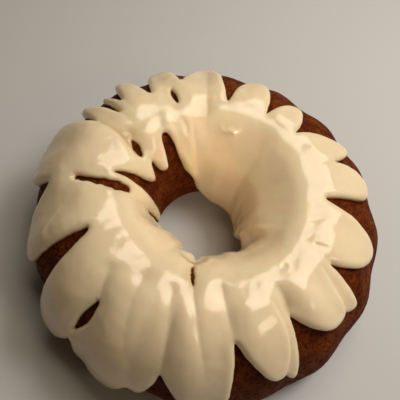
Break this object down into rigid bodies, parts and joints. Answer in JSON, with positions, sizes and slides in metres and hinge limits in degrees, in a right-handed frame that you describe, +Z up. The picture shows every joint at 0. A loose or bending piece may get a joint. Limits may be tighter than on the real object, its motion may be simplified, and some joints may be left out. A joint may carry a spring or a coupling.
{
  "type": "bundt cake",
  "caption": "Ring cake with a brown, softly fluted crust and a funnel-shaped hole, coated in thick glossy cream icing that runs down its sides in uneven drips.",
  "frame": {"origin": "on the floor under the middle of the whole, 2.4 mm in front of the hole's axis", "axes": "+Z up through the hole; +X to the right and -Y towards the viewer"},
  "size_m": [0.2462, 0.2502, 0.0871],
  "materials": {
    "crust": "rough, baked crust with fine dark pores",
    "cream": "smooth and glossy"
  },
  "bodies": {
    "root": {"cake": "crust", "icing": "cream"}
  },
  "joints": []
}
